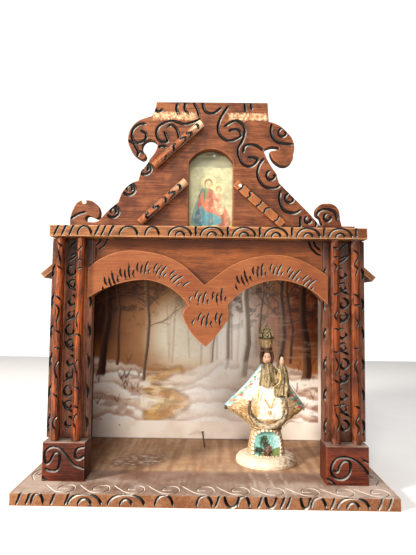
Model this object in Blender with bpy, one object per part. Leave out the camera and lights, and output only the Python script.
"""Small wooden shrine: an open box with a carved front, a scrolled pediment and a cast figure inside.

Metres, +Z up, the front faces -Y and the origin is under the middle of the base board.
"""

import math

import bmesh
import bpy
from mathutils import Matrix, Vector

# Fits
FIT = 0.0003
NAIL_CLEARANCE = 0.0004

# Base board, which stands out past the box on every side
BASE_THICKNESS = 0.0104
BASE_SIDE_MARGIN = 0.0155
BASE_BACK_MARGIN = 0.0019

# Front posts: plinths, carved stiles and round columns
POST_OUTER_X = 0.1495
PLINTH_SETBACK = 0.026
PLINTH_WIDTH = 0.0384
PLINTH_HEIGHT = 0.034
PLINTH_SIDE_STEP = 0.002
PLINTH_LEDGE = 0.0145
STILE_WIDTH = 0.0395
STILE_THICKNESS = 0.010
STILE_HEIGHT = 0.188
COLUMN_DIAMETER = 0.008
COLUMN_EDGE = 0.0107
COLUMN_SPACING = 0.0192
COLUMN_INSET = 0.0072
COLUMN_SIDES = 16

# Box behind the posts
WALL_THICKNESS = 0.012
CHAMBER_DEPTH = 0.110
BACK_THICKNESS = 0.005
CARD_THICKNESS = 0.0006

# Boards across the front
TOP_THICKNESS = 0.0104
TOP_SIDE_STEP = 0.0015
ARCH_THICKNESS = 0.0042
ARCH_COLUMN_GAP = 0.0021
ARCH_DROP = 0.0126
ARCH_HEIGHT = 0.0891
LINTEL_REVEAL = 0.003

# Pediment
PEDIMENT_WIDTH = 0.260
PEDIMENT_HEIGHT = 0.1228
PEDIMENT_THICKNESS = 0.010
PEDIMENT_INSET = 0.010
NICHE_WIDTH = 0.0424
NICHE_HEIGHT = 0.0768
NICHE_X = 0.002
NICHE_RISE_SHARE = 0.30
CUT_PAST = 0.005
BATTEN_HEIGHT = 0.005
BATTEN_DEPTH = 0.009
BATTEN_START_X = -0.126
BATTEN_END_X = 0.143
NICHE_CARD_WIDTH = 0.054
NICHE_CARD_HEIGHT = 0.080
NICHE_CARD_THICKNESS = 0.0004
ROD_DIAMETER = 0.0075
STRIP_WIDTH = 0.0075
STRIP_THICKNESS = 0.004

# Side awnings
AWNING_LENGTH = 0.096
AWNING_GAP = 0.0017
AWNING_DROP = 0.0203
AWNING_REACH = 0.0152
AWNING_SLOPE_DEGREES = 41
AWNING_THICKNESS = 0.0055

# Nail in the floor
NAIL_DIAMETER = 0.0017
NAIL_HEAD_DIAMETER = 0.0032
NAIL_HEAD_THICKNESS = 0.0008
NAIL_HEIGHT = 0.0172
NAIL_SEAT = 0.005
NAIL_X = -0.0011
NAIL_SETBACK = 0.130
NAIL_LEAN_DEGREES = -8

# Cast figure
FIGURE_HEIGHT = 0.1430
FIGURE_X = 0.0622
FIGURE_SETBACK = 0.088

# Carving
GROOVE_WIDTH = 0.0024
GROOVE_DEPTH = 0.0013
GROOVE_OVERSHOOT = 0.0008
GROOVE_END_SHARE = 0.35
CARVED_MARGIN = 0.0020
BASE_SCROLL_PITCH = 0.0302
BASE_SCROLL_EDGE = 0.0030
BASE_SCROLL_PLINTH_GAP = 0.0040
STILE_LOOP_PITCH = 0.0285
STILE_LOOP_RADIUS = 0.0058
TOP_ARCH_PITCH = 0.0298
ARC_STEP_DEGREES = 22
CURL_STEP_DEGREES = 60
HOOP_STEPS = 4

# Levels and planes that follow from the sizes above
BASE_WIDTH = 2 * (POST_OUTER_X + BASE_SIDE_MARGIN)
STILE_SETBACK = PLINTH_SETBACK + PLINTH_LEDGE
BASE_DEPTH = STILE_SETBACK + STILE_THICKNESS + CHAMBER_DEPTH + BACK_THICKNESS + 2 * FIT + BASE_BACK_MARGIN
FRONT_Y = -BASE_DEPTH / 2
FLOOR_Z = BASE_THICKNESS + FIT
PLINTH_TOP_Z = FLOOR_Z + PLINTH_HEIGHT
STILE_BOTTOM_Z = PLINTH_TOP_Z + FIT
TOP_BOARD_Z = STILE_BOTTOM_Z + STILE_HEIGHT + FIT
PEDIMENT_Z = TOP_BOARD_Z + TOP_THICKNESS + FIT
PLINTH_Y = FRONT_Y + PLINTH_SETBACK
STILE_Y = FRONT_Y + STILE_SETBACK
STILE_BACK_Y = STILE_Y + STILE_THICKNESS
WALL_Y = STILE_BACK_Y + FIT
WALL_BACK_Y = WALL_Y + CHAMBER_DEPTH
BACK_Y = WALL_BACK_Y + FIT
ARCH_Y = STILE_Y - FIT - ARCH_THICKNESS
PEDIMENT_Y = PLINTH_Y + PEDIMENT_INSET
PEDIMENT_BACK_Y = PEDIMENT_Y + PEDIMENT_THICKNESS
WALL_INNER_X = POST_OUTER_X - WALL_THICKNESS
COLUMN_OUTER_X = POST_OUTER_X - COLUMN_EDGE
COLUMN_INNER_X = COLUMN_OUTER_X - COLUMN_SPACING
COLUMN_Y = PLINTH_Y + COLUMN_INSET
ARCH_WIDTH = 2 * (COLUMN_INNER_X - COLUMN_DIAMETER / 2 - ARCH_COLUMN_GAP)
TOP_HALF_WIDTH = POST_OUTER_X - TOP_SIDE_STEP

# The drawings below are on grids of these widths and heights, scaled to the named sizes
PEDIMENT_GRID = (260.0, 122.8)
ARCH_GRID = (227.0, 89.1)
FIGURE_GRID = 143.0
PLINTH_GRID = (38.4, 34.0)
BASE_GRID = 330.0
TOP_GRID = 296.0


def clear_scene():
    for obj in list(bpy.data.objects):
        bpy.data.objects.remove(obj, do_unlink=True)


def finish(name, colour, roughness, metallic=0.0):
    material = bpy.data.materials.new(name)
    material.use_nodes = True
    shader = material.node_tree.nodes["Principled BSDF"]
    shader.inputs["Base Color"].default_value = (*colour, 1.0)
    shader.inputs["Roughness"].default_value = roughness
    shader.inputs["Metallic"].default_value = metallic
    return material


def add_object(name, mesh, material):
    obj = bpy.data.objects.new(name, mesh)
    bpy.context.scene.collection.objects.link(obj)
    if material:
        mesh.materials.append(material)
    return obj


def mesh_object(name, shape, material):
    """Turns a bmesh into a named object with its faces pointing outwards."""
    bmesh.ops.recalc_face_normals(shape, faces=shape.faces)
    mesh = bpy.data.meshes.new(name)
    shape.to_mesh(mesh)
    shape.free()
    return add_object(name, mesh, material)


# Outlines and solids


def bowed(start, end, bow):
    """Points of the arc from start up to end, which stands off its chord by bow times the chord, to the left."""
    start, end = Vector(start), Vector(end)
    if not bow:
        return [start]
    chord = end - start
    left = Vector((-chord.y, chord.x)).normalized()
    rise = bow * chord.length
    radius = (chord.length_squared / 4 + rise * rise) / (2 * rise)
    centre = (start + end) / 2 + left * (rise - radius)
    sweep = -4 * math.atan(2 * bow)
    steps = max(2, math.ceil(abs(math.degrees(sweep)) / ARC_STEP_DEGREES))
    spoke = start - centre
    return [centre + Matrix.Rotation(sweep * i / steps, 2) @ spoke for i in range(steps)]


def outline(corners):
    """The closed outline through corners of (x, z, bow), where bow bends the side that leaves the corner."""
    points = []
    for here, ahead in zip(corners, corners[1:] + corners[:1]):
        points += bowed(here[:2], ahead[:2], here[2])
    return points


def on_grid(corners, grid, width, height, x=0.0, z=0.0):
    """Corners of a drawing scaled from its grid to the real width and height."""
    return [(x + a * width / grid[0], z + b * height / grid[1], bow) for a, b, bow in corners]


def plate(name, points, front_y, thickness, material):
    """A board sawn to an outline in X and Z, standing upright."""
    shape = bmesh.new()
    corners = [shape.verts.new((x, front_y, z)) for x, z in points]
    face = shape.faces.new(corners)
    grown = bmesh.ops.extrude_face_region(shape, geom=[face])
    moved = [item for item in grown["geom"] if isinstance(item, bmesh.types.BMVert)]
    bmesh.ops.translate(shape, verts=moved, vec=(0, thickness, 0))
    return mesh_object(name, shape, material)


def block(name, low, high, material):
    shape = bmesh.new()
    bmesh.ops.create_cube(shape, size=1.0)
    size = [b - a for a, b in zip(low, high)]
    middle = [(a + b) / 2 for a, b in zip(low, high)]
    bmesh.ops.scale(shape, vec=size, verts=shape.verts)
    bmesh.ops.translate(shape, vec=middle, verts=shape.verts)
    return mesh_object(name, shape, material)


def rod(name, start, end, radius, material, sides=COLUMN_SIDES):
    """A round bar between two points."""
    start, end = Vector(start), Vector(end)
    shape = bmesh.new()
    bmesh.ops.create_cone(
        shape, cap_ends=True, segments=sides, radius1=radius, radius2=radius, depth=(end - start).length
    )
    turn = (end - start).to_track_quat("Z", "Y").to_matrix().to_4x4()
    bmesh.ops.transform(shape, matrix=Matrix.Translation((start + end) / 2) @ turn, verts=shape.verts)
    obj = mesh_object(name, shape, material)
    obj.data.shade_smooth()
    obj.data.set_sharp_from_angle(angle=math.radians(40))
    return obj


def as_cutter(obj):
    obj.hide_render = True
    obj.display_type = "WIRE"
    return obj


def combine(target, other, operation):
    modifier = target.modifiers.new(other.name, "BOOLEAN")
    modifier.operation = operation
    modifier.solver = "EXACT"
    modifier.use_self = True
    modifier.object = as_cutter(other)


# Carving


def curl(x, z, radius, start, sweep, tighten=0.45):
    """A spiral stroke round a centre that closes in to tighten times its radius. Angles in degrees."""
    steps = max(3, math.ceil(abs(sweep) / CURL_STEP_DEGREES))
    path = []
    for i in range(steps + 1):
        share = i / steps
        reach = radius * (1 - (1 - tighten) * share)
        angle = math.radians(start + sweep * share)
        path.append((x + reach * math.cos(angle), z + reach * math.sin(angle)))
    return path


def hoop(x, z, width, height):
    """An arch stroke standing on the level z, or a hanging one where the height is negative."""
    angles = [math.pi * i / HOOP_STEPS for i in range(HOOP_STEPS + 1)]
    return [(x - width / 2 * math.cos(angle), z + height * math.sin(angle)) for angle in angles]


def wave(points, steps=2):
    """A smooth stroke through a few points."""
    ends = [points[0], *points, points[-1]]
    path = []
    for a, b, c, d in zip(ends, ends[1:], ends[2:], ends[3:]):
        for i in range(steps):
            t = i / steps
            path.append(
                tuple(
                    0.5 * (2 * q + (r - p) * t + (2 * p - 5 * q + 4 * r - s) * t * t
                           + (3 * q - p - 3 * r + s) * t ** 3)
                    for p, q, r, s in zip(a, b, c, d)
                )
            )
    return path + [tuple(points[-1])]


def carve(target, paths, origin, across, along, out, width=GROOVE_WIDTH, depth=GROOVE_DEPTH):
    """Cuts V grooves along paths drawn on a flat face. The face's axes are across, along and out."""
    origin, across, along, out = (Vector(v) for v in (origin, across, along, out))
    shape = bmesh.new()
    for path in paths:
        points = [Vector(p) for p in path]
        rings = []
        for i, point in enumerate(points):
            before, after = points[max(i - 1, 0)], points[min(i + 1, len(points) - 1)]
            way = (after - before).normalized()
            side = Vector((-way.y, way.x))
            scale = GROOVE_END_SHARE if i in (0, len(points) - 1) else 1.0
            deep = depth * scale
            half = width * scale / 2 * (1 + GROOVE_OVERSHOOT / deep)
            ring = []
            for spot, lift in (
                (point + side * half, GROOVE_OVERSHOOT),
                (point - side * half, GROOVE_OVERSHOOT),
                (point, -deep),
            ):
                ring.append(shape.verts.new(origin + across * spot.x + along * spot.y + out * lift))
            rings.append(ring)
        for a, b in zip(rings, rings[1:]):
            for j in range(3):
                k = (j + 1) % 3
                shape.faces.new((a[j], a[k], b[k], b[j]))
        shape.faces.new(rings[0])
        shape.faces.new(rings[-1][::-1])
    bmesh.ops.triangulate(shape, faces=shape.faces)
    combine(target, mesh_object(target.name + "_grooves", shape, None), "DIFFERENCE")


def carve_front(target, paths, y, **size):
    carve(target, paths, (0, y, 0), (1, 0, 0), (0, 0, 1), (0, -1, 0), **size)


def base_front_strokes():
    """Arches with smaller arches inside, and slanting gouges between them, along the base's front edge."""
    low = CARVED_MARGIN
    high = BASE_THICKNESS - CARVED_MARGIN
    tall = high - low
    step = BASE_WIDTH / BASE_GRID
    arches = ((-141, 10), (-101, 28), (-66, 31), (-34, 15), (0, 13), (33, 10), (96, 12), (125, 27))
    inner_arches = ((-101, 11), (-66, 10), (125, 10))
    hanging = ((23, 12), (56, 9), (85, 8))
    slants = (-157, -149, -128, -116, 11, 47, 66, 71, 108, 148, 156)
    strokes = [hoop(x * step, low, width * step, tall) for x, width in arches]
    strokes += [hoop(x * step, low, width * step, tall * 0.55) for x, width in inner_arches]
    strokes += [hoop(x * step, high, width * step, -tall) for x, width in hanging]
    strokes += [[((x - 2) * step, low), ((x + 2) * step, high)] for x in slants]
    return strokes


def running_scroll(start, pitch, low, high):
    """One turn of a running scroll: down from the last crest, under the eye, round it and in to its middle."""
    shares = ((-0.66, 0.86), (-0.45, 0.45), (-0.22, 0.10), (0.06, 0.04), (0.26, 0.34), (0.16, 0.80),
              (-0.14, 0.76), (-0.20, 0.40), (0.04, 0.42))
    return [(start + along * pitch, low + across * (high - low)) for along, across in shares]


def base_top_strokes():
    """Running scrolls on the base's top, along the strip in front of the posts and along both ends."""
    low = BASE_SCROLL_EDGE
    high = PLINTH_SETBACK - BASE_SCROLL_PLINTH_GAP
    pitch = BASE_SCROLL_PITCH
    count = int((BASE_WIDTH / 2 - pitch / 3) // pitch)
    strokes = [running_scroll(i * pitch, pitch, low, high) for i in range(-count + 1, count + 1)]
    depth = BASE_DEPTH - PLINTH_SETBACK
    for side in (-1, 1):
        edge = BASE_WIDTH / 2
        for i in range(int(depth // pitch)):
            turn = running_scroll(PLINTH_SETBACK + (i + 0.7) * pitch, pitch, low, BASE_SIDE_MARGIN - low)
            strokes.append([(side * (edge - across), along) for along, across in turn])
    return strokes


def plinth_strokes(side):
    """Scrolls on a plinth's front, drawn on its grid about its middle."""
    left = (
        [(-17, -6), (-11, -8), (-5, -7), (-3, 1), (-4, 7), (-8, 7.5), (-11.4, 1), (-15, -2), (-17, 4),
         (-15.5, 10), (-10.5, 13), (-4, 12), (2.5, 6), (10, -2.5), (17.5, -6)],
        [(17.5, 13.5), (12.5, 11.5), (10.7, 5.5), (14, 2.2), (17.5, 6)],
    )
    right = (
        [(17.5, -9), (14.4, -1.4), (7.3, 4.7), (-1.2, 7.6), (-9.8, 6.2), (-14.3, 0), (-14.7, -6.2), (-10.7, -11),
         (-3.6, -11.3), (1.8, -6), (2.3, 2), (-2.1, 4.6), (-6.6, 1), (-9, -5), (-12, -4.5)],
        [(-17.5, -11), (-13.5, -14.5)],
        [(13.5, 6), (17.5, 2)],
    )
    x = side * (POST_OUTER_X - PLINTH_SIDE_STEP - PLINTH_WIDTH / 2)
    z = FLOOR_Z + PLINTH_HEIGHT / 2
    across = PLINTH_WIDTH / PLINTH_GRID[0]
    up = PLINTH_HEIGHT / PLINTH_GRID[1]
    drawn = [wave(points, 1) for points in (left if side < 0 else right)]
    return [[(x + a * across, z + b * up) for a, b in path] for path in drawn]


def stile_strokes(side):
    """A chain of hooked loops up a stile, between and beside its two columns."""
    x = side * (COLUMN_OUTER_X + COLUMN_INNER_X) / 2
    radius = STILE_LOOP_RADIUS
    edge = STILE_WIDTH / 2 - 2 * GROOVE_WIDTH / 3
    count = int((STILE_HEIGHT - 2 * radius) // STILE_LOOP_PITCH)
    middle = side * (POST_OUTER_X - STILE_WIDTH / 2)
    strokes = []
    for i in range(count):
        z = STILE_BOTTOM_Z + 2.4 * radius + i * STILE_LOOP_PITCH
        turn = 1 if i % 2 else -1
        strokes.append(curl(x, z, radius, 90, 300 * turn, 0.4))
        strokes.append(wave([(x - turn * radius * 0.9, z + radius * 1.6), (x + turn * radius * 0.2, z + radius * 2.3),
                             (x + turn * radius, z + radius * 3.2)]))
        for hand in (-1, 1):
            strokes.append([(middle + hand * edge, z - radius), (middle + hand * edge * 0.94, z + radius)])
    return strokes


def top_board_strokes():
    """Arches with small arches inside along the top board's front, closer and slanting at the left."""
    low = TOP_BOARD_Z + CARVED_MARGIN
    tall = TOP_THICKNESS - 2 * CARVED_MARGIN
    pitch = TOP_ARCH_PITCH
    step = 2 * TOP_HALF_WIDTH / TOP_GRID
    strokes = []
    for i in range(6):
        x = -26 * step + i * pitch
        strokes.append(hoop(x, low, pitch * 0.72, tall))
        strokes.append(hoop(x, low, pitch * 0.29, tall * 0.5))
        strokes.append([(x + pitch / 2, low + tall), (x + pitch / 2, low)])
    for x, width in ((-115, 13), (-74, 17), (-52, 13)):
        strokes.append(hoop(x * step, low, width * step, tall))
    for x in (-141, -134, -127, -103, -97, -90):
        strokes.append([((x - 2.5) * step, low), ((x + 2.2) * step, low + tall)])
    return strokes


def pediment_strokes():
    """Scrolls on the pediment's front, drawn on its grid."""
    waves = (
        [(-61, 101), (-68, 100), (-74, 94), (-74, 86), (-69, 82), (-62, 85), (-61, 91), (-66, 94)],
        [(-76, 83), (-71, 75), (-67, 72)],
        [(-69, 68), (-67, 73), (-62, 72)],
        [(-8, 106), (-23, 101), (-36, 104), (-48, 99), (-51, 91), (-47, 84), (-40, 84), (-43, 93)],
        [(-40, 98), (-36, 100), (-31, 95), (-29, 86)],
        [(-49, 78), (-45, 79), (-40, 78)],
        [(18, 119), (10, 105), (9, 93), (18, 85), (30, 89), (28, 96), (19, 95)],
        [(15, 99), (26, 105), (34, 98), (33, 87), (28, 76), (32, 63), (41, 60), (47, 67), (38, 69)],
        [(33, 73), (35, 80), (44, 81), (52, 76)],
        [(53, 68), (48, 60), (47, 50), (53, 41), (63, 39), (68, 42)],
        [(69, 37), (68, 28), (72, 18), (82, 15), (88, 18)],
        [(88, 12), (88, 7), (88, 2)],
        [(60, 102), (60, 92), (66, 84), (78, 82)],
        [(103, 3), (104, 15), (111, 19), (120, 17), (123, 9)],
        [(-129, 7), (-124, 12), (-117, 14)],
    )
    drawn = [wave(points) for points in waves]
    drawn += [curl(x, z, 5.5, -110, 200, 0.9) for x, z in ((-60, 58), (-76, 37), (-91, 15))]
    drawn += [curl(x, z, radius, 100, 300, 0.6)
              for x, z, radius in ((60, 51, 5), (78, 29, 5), (95.5, 8.5, 3.6), (71, 93, 4.5), (114, 11, 4))]
    drawn += [
        hoop(-49, 116, 6, -3),
        wave([(-31, 121), (-32, 116), (-30, 111)]),
        wave([(-23, 121), (-24, 116), (-20, 111)]),
        wave([(-16, 121), (-12, 116), (-10, 109)]),
        wave([(-7, 121), (-4, 114), (4, 112), (12, 117)]),
        [(34, 121), (35, 114)],
        [(40, 121), (41, 116)],
    ]
    across = PEDIMENT_WIDTH / PEDIMENT_GRID[0]
    up = PEDIMENT_HEIGHT / PEDIMENT_GRID[1]
    return [[(x * across, PEDIMENT_Z + z * up) for x, z in path] for path in drawn]


# Pieces


def base_board(wood):
    low = (-BASE_WIDTH / 2, FRONT_Y, 0)
    obj = block("base_board", low, (BASE_WIDTH / 2, FRONT_Y + BASE_DEPTH, BASE_THICKNESS), wood)
    carve_front(obj, base_front_strokes(), FRONT_Y, depth=0.0015)
    carve(obj, base_top_strokes(), (0, FRONT_Y, BASE_THICKNESS), (1, 0, 0), (0, 1, 0), (0, 0, 1),
          width=0.0020, depth=0.0008)
    foot, way = nail_axis()
    hole = rod("nail_hole", foot - way * FIT, foot + way * (NAIL_SEAT * 2),
               NAIL_DIAMETER / 2 + NAIL_CLEARANCE, None, sides=10)
    combine(obj, hole, "DIFFERENCE")
    return obj


def posts(plinth_wood, stile_wood, column_wood):
    for side, hand in ((-1, "left"), (1, "right")):
        outer = side * (POST_OUTER_X - PLINTH_SIDE_STEP)
        inner = outer - side * PLINTH_WIDTH
        plinth = block("plinth_" + hand, (min(outer, inner), PLINTH_Y, FLOOR_Z),
                       (max(outer, inner), STILE_BACK_Y, PLINTH_TOP_Z), plinth_wood)
        carve_front(plinth, plinth_strokes(side), PLINTH_Y)
        outer = side * POST_OUTER_X
        inner = outer - side * STILE_WIDTH
        stile = block("stile_" + hand, (min(outer, inner), STILE_Y, STILE_BOTTOM_Z),
                      (max(outer, inner), STILE_BACK_Y, TOP_BOARD_Z - FIT), stile_wood)
        carve_front(stile, stile_strokes(side), STILE_Y)
        for place, x in (("outer", COLUMN_OUTER_X), ("inner", COLUMN_INNER_X)):
            column(f"column_{hand}_{place}", side * x, column_wood)


def column(name, x, wood):
    """A dowel from the plinth to the top board, with gouged notches across its front."""
    y = COLUMN_Y
    obj = rod(name, (x, y, STILE_BOTTOM_Z), (x, y, TOP_BOARD_Z - FIT), COLUMN_DIAMETER / 2, wood)
    height = TOP_BOARD_Z - STILE_BOTTOM_Z
    radius = COLUMN_DIAMETER / 2
    strokes = []
    for share, slope in ((0.03, 1), (0.13, -1), (0.34, 2), (0.47, 1), (0.58, 2), (0.86, -1), (0.94, 1)):
        z = STILE_BOTTOM_Z + share * height
        rise = 0.0022 * slope
        strokes.append([(x - radius * 1.3, z - rise), (x, z), (x + radius * 1.3, z + rise)])
    carve_front(obj, strokes, y - radius, width=0.0026, depth=0.0013)


def box_walls(wood, back_wood):
    for side, hand in ((-1, "left"), (1, "right")):
        outer = side * POST_OUTER_X
        inner = side * WALL_INNER_X
        block("side_wall_" + hand, (min(outer, inner), WALL_Y, FLOOR_Z),
              (max(outer, inner), WALL_BACK_Y, TOP_BOARD_Z - FIT), wood)
    block("back_panel", (-POST_OUTER_X, BACK_Y, FLOOR_Z),
          (POST_OUTER_X, BACK_Y + BACK_THICKNESS, TOP_BOARD_Z - FIT), back_wood)


def landscape_card(paper):
    half = WALL_INNER_X - FIT
    block("landscape_card", (-half, WALL_BACK_Y - CARD_THICKNESS, FLOOR_Z),
          (half, WALL_BACK_Y, TOP_BOARD_Z - FIT), paper)


def arch_corners():
    """The arch board: two uneven arches above, their undersides below, and a pointed drop between them."""
    drawn = [
        (-113.5, 72.7, 0.125), (-59.7, 89.1, 0.07), (-20.5, 74.7, 0), (-2.8, 57.9, 0),
        (19.0, 74.5, 0.055), (50.4, 86.0, 0.085), (92.0, 80.8, 0.04), (113.5, 67.8, 0),
        (113.5, 40.5, -0.115), (65.1, 63.4, -0.104), (19.3, 39.3, 0.07), (19.4, 25.0, 0.03),
        (-0.8, 0.0, 0.086), (-23.2, 28.8, 0.1), (-17.9, 38.4, -0.12), (-61.1, 62.4, -0.07),
        (-113.5, 44.3, 0),
    ]
    bottom = TOP_BOARD_Z - ARCH_DROP - ARCH_HEIGHT
    return on_grid(drawn, ARCH_GRID, ARCH_WIDTH, ARCH_HEIGHT, z=bottom)


def arch_board(wood):
    plate("arch_board", outline(arch_corners()), ARCH_Y, ARCH_THICKNESS, wood)


def lintel_panel(wood):
    """The plain board behind the arch board. Its lower edge follows the arches a little higher up."""
    half = POST_OUTER_X - STILE_WIDTH - FIT
    corners = arch_corners()
    up = LINTEL_REVEAL
    under = [(min(x, half), z + up, bow) for x, z, bow in corners[8:11]]
    under += [(x, z + up, bow) for x, z, bow in corners[11:12]]
    under += [(corners[12][0], corners[12][1] + up * 3, corners[12][2])]
    under += [(max(x, -half), z + up, bow) for x, z, bow in corners[13:17]]
    top = TOP_BOARD_Z - FIT
    corners = [(-half, top, 0), (half, top, 0), *under]
    plate("lintel_panel", outline(corners), STILE_Y, STILE_THICKNESS, wood)


def top_board(wood):
    obj = block("top_board", (-TOP_HALF_WIDTH, PLINTH_Y, TOP_BOARD_Z),
                (TOP_HALF_WIDTH, BACK_Y + BACK_THICKNESS, TOP_BOARD_Z + TOP_THICKNESS), wood)
    carve_front(obj, top_board_strokes(), PLINTH_Y)


def pediment_corners():
    """The pediment from its lower left corner round over the top: small volute, rake, big volute, block."""
    drawn = [
        (-132.0, 0.0, 0.08), (-129.0, 18.0, 0.20), (-116.3, 25.6, 0.24), (-104.4, 11.5, 0.30),
        (-108.5, 8.6, -0.05), (-115.0, 11.0, -0.55), (-113.4, 4.6, -0.10), (-104.5, 6.0, 0.03),
        (-86.6, 24.0, 0.0), (-85.3, 27.5, 0.14), (-67.7, 45.2, 0.0), (-65.2, 55.0, -0.06),
        (-56.6, 67.2, -0.08), (-49.6, 80.5, -0.72), (-61.3, 71.8, 0.42), (-66.5, 67.2, 0.34),
        (-64.1, 106.2, 0.0), (-55.6, 109.0, -0.06), (-51.6, 122.8, 0.0),
        (56.1, 122.8, 0.0), (57.3, 104.2, 0.10), (75.0, 93.8, 0.16), (80.8, 72.0, 0.34),
        (66.5, 63.0, 0.12), (58.6, 75.0, 0.0), (66.3, 76.6, -0.40), (65.5, 80.0, -0.08),
        (56.0, 79.0, -0.25), (53.6, 72.5, -0.04), (65.2, 52.8, -0.04), (67.6, 44.0, 0.0),
        (94.8, 16.5, 0.0), (106.8, 3.0, -0.4), (108.2, 6.0, 0.0), (107.0, 10.5, 0.0),
        (103.2, 13.4, 0.30), (112.4, 24.6, 0.22), (124.9, 16.0, 0.0), (125.8, 8.0, 0.0), (128.0, 0.0, 0.0),
    ]
    return on_grid(drawn, PEDIMENT_GRID, PEDIMENT_WIDTH, PEDIMENT_HEIGHT, z=PEDIMENT_Z)


def pediment_board(wood):
    obj = plate("pediment_board", outline(pediment_corners()), PEDIMENT_Y, PEDIMENT_THICKNESS, wood)
    x = NICHE_X
    half = NICHE_WIDTH / 2
    spring = PEDIMENT_Z + NICHE_HEIGHT - NICHE_WIDTH * NICHE_RISE_SHARE
    below = PEDIMENT_Z - CUT_PAST
    corners = [(x - half, below, 0), (x - half, spring, NICHE_RISE_SHARE), (x + half, spring, 0),
               (x + half, below, 0)]
    hole = plate("niche_opening", outline(corners), PEDIMENT_Y - CUT_PAST, PEDIMENT_THICKNESS + 2 * CUT_PAST, None)
    combine(obj, hole, "DIFFERENCE")
    carve_front(obj, pediment_strokes(), PEDIMENT_Y)


def niche_card(paper):
    y = PEDIMENT_BACK_Y + FIT
    block("niche_card", (NICHE_X - NICHE_CARD_WIDTH / 2, y, PEDIMENT_Z),
          (NICHE_X + NICHE_CARD_WIDTH / 2, y + NICHE_CARD_THICKNESS, PEDIMENT_Z + NICHE_CARD_HEIGHT), paper)


def pediment_batten(wood):
    y = PEDIMENT_BACK_Y + FIT + NICHE_CARD_THICKNESS + FIT
    block("pediment_batten", (BATTEN_START_X, y, PEDIMENT_Z),
          (BATTEN_END_X, y + BATTEN_DEPTH, PEDIMENT_Z + BATTEN_HEIGHT), wood)


def rake_mouldings(dark_wood, pale_wood):
    """What is left of the mouldings glued along the pediment's slopes: two rods at the left, a flat strip right."""
    across = PEDIMENT_WIDTH / PEDIMENT_GRID[0]
    up = PEDIMENT_HEIGHT / PEDIMENT_GRID[1]

    def spot(x, z, y):
        return Vector((x * across, y, PEDIMENT_Z + z * up))

    rod_y = PEDIMENT_Y - FIT - ROD_DIAMETER / 2
    rod("rake_rod_upper_left", spot(-7.3, 100.4, rod_y), spot(-52.4, 58.5, rod_y), ROD_DIAMETER / 2, pale_wood)
    rod("rake_rod_lower_left", spot(-21.6, 43.7, rod_y), spot(-64.6, 4.0, rod_y), ROD_DIAMETER / 2, dark_wood)
    start, end = spot(25.6, 42.7, 0), spot(70.6, 3.2, 0)
    side = (end - start).cross(Vector((0, 1, 0))).normalized() * STRIP_WIDTH / 2
    ring = [start + side, end + side, end - side, start - side]
    plate("rake_strip_lower_right", [(p.x, p.z) for p in ring], PEDIMENT_Y - FIT - STRIP_THICKNESS,
          STRIP_THICKNESS, dark_wood)


def awnings(wood):
    """A small sloping board along each outer side wall."""
    slope = math.radians(AWNING_SLOPE_DEGREES)
    start = POST_OUTER_X + FIT
    top = TOP_BOARD_Z - AWNING_DROP
    fall = AWNING_REACH * math.tan(slope)
    thick = AWNING_THICKNESS / math.cos(slope)
    lip = AWNING_THICKNESS * math.sin(slope)
    for side, hand in ((-1, "left"), (1, "right")):
        corners = [
            (start, top),
            (start + AWNING_REACH, top - fall),
            (start + AWNING_REACH - lip, top - fall - AWNING_THICKNESS * math.cos(slope)),
            (start, top - thick),
        ]
        plate("awning_" + hand, [(side * x, z) for x, z in corners], WALL_Y + AWNING_GAP,
              AWNING_LENGTH, wood)


def nail_axis():
    """Where the nail's point stands in the base, and the way that the nail leans."""
    lean = math.radians(NAIL_LEAN_DEGREES)
    way = Vector((math.sin(lean), 0, math.cos(lean)))
    return Vector((NAIL_X, FRONT_Y + NAIL_SETBACK, BASE_THICKNESS - NAIL_SEAT)), way


def floor_nail(steel):
    foot, way = nail_axis()
    length = NAIL_HEIGHT + NAIL_SEAT
    foot = foot + way * FIT
    shank = rod("floor_nail", foot, foot + way * length, NAIL_DIAMETER / 2, steel, sides=10)
    head = rod("nail_head", foot + way * (length - NAIL_HEAD_THICKNESS), foot + way * (length + FIT),
               NAIL_HEAD_DIAMETER / 2, None, sides=12)
    combine(shank, head, "UNION")


# The figure, drawn on its own height


def turned(name, profile, depth_share=1.0, x=0.0, y=0.0, sides=18, material=None):
    """A closed turned form from (radius, z) pairs, flattened in Y by depth_share, on the figure's grid."""
    unit = FIGURE_HEIGHT / FIGURE_GRID
    shape = bmesh.new()
    rings = []
    for radius, z in profile:
        ring = []
        for i in range(sides):
            angle = math.tau * i / sides
            ring.append(shape.verts.new((
                FIGURE_X + (x + radius * math.cos(angle)) * unit,
                FRONT_Y + FIGURE_SETBACK + (y + radius * depth_share * math.sin(angle)) * unit,
                FLOOR_Z + z * unit,
            )))
        rings.append(ring)
    for a, b in zip(rings, rings[1:]):
        for i in range(sides):
            j = (i + 1) % sides
            shape.faces.new((a[i], a[j], b[j], b[i]))
    shape.faces.new(rings[0][::-1])
    shape.faces.new(rings[-1])
    obj = mesh_object(name, shape, material)
    obj.data.shade_smooth()
    obj.data.set_sharp_from_angle(angle=math.radians(35))
    return obj


def mantle_sections():
    """Half widths left and right, depth and height of the spread mantle, from its hem up to the neck."""
    return [
        (11.5, 15.0, 9.0, 33.0), (20.0, 22.0, 10.0, 40.0), (33.0, 32.5, 11.0, 48.0), (44.0, 40.5, 11.0, 54.5),
        (41.0, 38.0, 10.5, 60.0), (29.5, 29.5, 10.0, 71.0), (19.0, 22.0, 9.0, 82.0), (10.0, 12.0, 8.0, 93.0),
        (4.2, 4.6, 4.2, 100.5),
    ]


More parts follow.
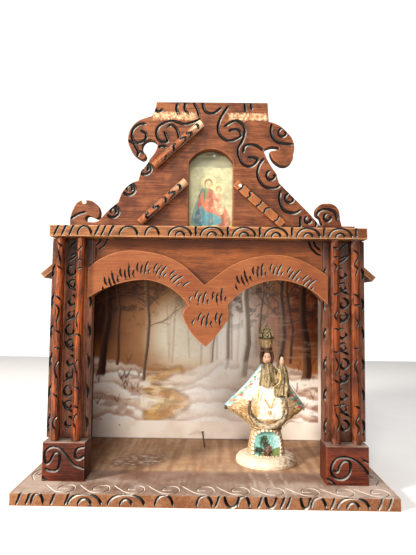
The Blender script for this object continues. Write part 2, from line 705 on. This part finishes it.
def mantle(name, sides=20):
    """The mantle: flattened rings, wide across and shallow front to back, with pinched side points."""
    unit = FIGURE_HEIGHT / FIGURE_GRID
    shape = bmesh.new()
    rings = []
    for left, right, depth, z in mantle_sections():
        ring = []
        for i in range(sides):
            angle = math.tau * i / sides
            across = math.cos(angle)
            reach = right if across > 0 else left
            ring.append(shape.verts.new((
                FIGURE_X + across * reach * unit,
                FRONT_Y + FIGURE_SETBACK + math.sin(angle) * abs(math.sin(angle)) ** 0.35 * depth * unit,
                FLOOR_Z + z * unit,
            )))
        rings.append(ring)
    for a, b in zip(rings, rings[1:]):
        for i in range(sides):
            j = (i + 1) % sides
            shape.faces.new((a[i], a[j], b[j], b[i]))
    shape.faces.new(rings[0][::-1])
    shape.faces.new(rings[-1])
    return mesh_object(name, shape, None)


def crescent(name):
    """The upturned crescent moon across the front of the robe."""
    unit = FIGURE_HEIGHT / FIGURE_GRID
    corners = [(-16.0, 64.0, 0.0), (-18.0, 63.0, -0.74), (19.6, 63.2, 0.0), (17.6, 64.2, 0.60)]
    points = [(FIGURE_X + x * unit, FLOOR_Z + z * unit) for x, z in outline(corners)]
    return plate(name, points, FRONT_Y + FIGURE_SETBACK - 14.0 * unit, 8.0 * unit, None)


def figurine(plaster):
    """Crowned and robed figure with a small figure on its arm, on a round pedestal with an arched niche."""
    unit = FIGURE_HEIGHT / FIGURE_GRID
    body = turned("figurine", [(31.3, 0.0), (31.3, 3.5), (29.0, 6.5), (25.0, 8.4), (19.6, 9.0), (19.0, 15.0),
                               (17.0, 26.0), (15.6, 33.0), (14.0, 36.0)], 0.92, sides=20, material=plaster)
    parts = [
        mantle("figure_mantle"),
        crescent("figure_crescent"),
        turned("figure_gown", [(9.9, 77.2), (9.9, 84.0), (8.2, 91.0), (5.0, 99.0)], 0.78, x=0.4, y=-5.0, sides=12),
        turned("figure_head", [(2.0, 98.0), (3.6, 99.5), (5.2, 102.5), (6.0, 106.5), (5.6, 110.5), (4.0, 113.5)],
               1.0, sides=12),
        turned("figure_crown", [(4.4, 112.0), (6.0, 114.0), (6.4, 121.0), (7.4, 125.5), (7.4, 127.8),
                                (6.4, 129.0), (5.4, 133.5), (3.0, 137.0), (1.5, 138.4), (1.5, 141.0),
                                (0.9, 143.0)], 1.0, sides=12),
        turned("figure_child_body", [(7.4, 67.2), (8.0, 69.0), (7.4, 76.0), (5.8, 86.0), (3.0, 98.0)], 0.82,
               x=15.0, y=-7.4, sides=12),
        turned("figure_child_head", [(1.4, 96.5), (2.2, 100.8), (3.0, 104.0), (2.6, 108.0), (1.2, 110.2)], 1.0,
               x=15.0, y=-7.0, sides=12),
    ]
    for part in parts:
        combine(body, part, "UNION")
    corners = [(-12.6, 12.0, 0), (-12.6, 23.5, 0.25), (0.2, 31.6, 0.25), (13.0, 23.5, 0), (13.0, 12.0, 0)]
    points = [(FIGURE_X + x * unit, FLOOR_Z + z * unit) for x, z in outline(corners)]
    niche = plate("figure_niche", points, FRONT_Y + FIGURE_SETBACK - 24.0 * unit, 13.0 * unit, None)
    combine(body, niche, "DIFFERENCE")
    return body


def main():
    clear_scene()
    red_wood = finish("red_brown_wood", (0.24, 0.085, 0.035), 0.45)
    dark_wood = finish("dark_carved_wood", (0.11, 0.045, 0.022), 0.55)
    orange_wood = finish("orange_wood", (0.42, 0.155, 0.055), 0.42)
    dusty_wood = finish("dusty_base_wood", (0.36, 0.24, 0.19), 0.7)
    pale_wood = finish("cream_painted_wood", (0.55, 0.42, 0.27), 0.6)
    print_paper = finish("printed_paper", (0.45, 0.33, 0.2), 0.55)
    card_paper = finish("small_card_paper", (0.72, 0.72, 0.52), 0.5)
    plaster = finish("painted_plaster", (0.55, 0.45, 0.3), 0.45)
    steel = finish("nail_steel", (0.2, 0.18, 0.16), 0.5, 0.9)
    base_board(dusty_wood)
    posts(red_wood, dark_wood, red_wood)
    box_walls(red_wood, dark_wood)
    landscape_card(print_paper)
    lintel_panel(red_wood)
    arch_board(orange_wood)
    top_board(red_wood)
    pediment_board(red_wood)
    niche_card(card_paper)
    pediment_batten(dark_wood)
    rake_mouldings(orange_wood, pale_wood)
    awnings(red_wood)
    floor_nail(steel)
    figurine(plaster)


main()
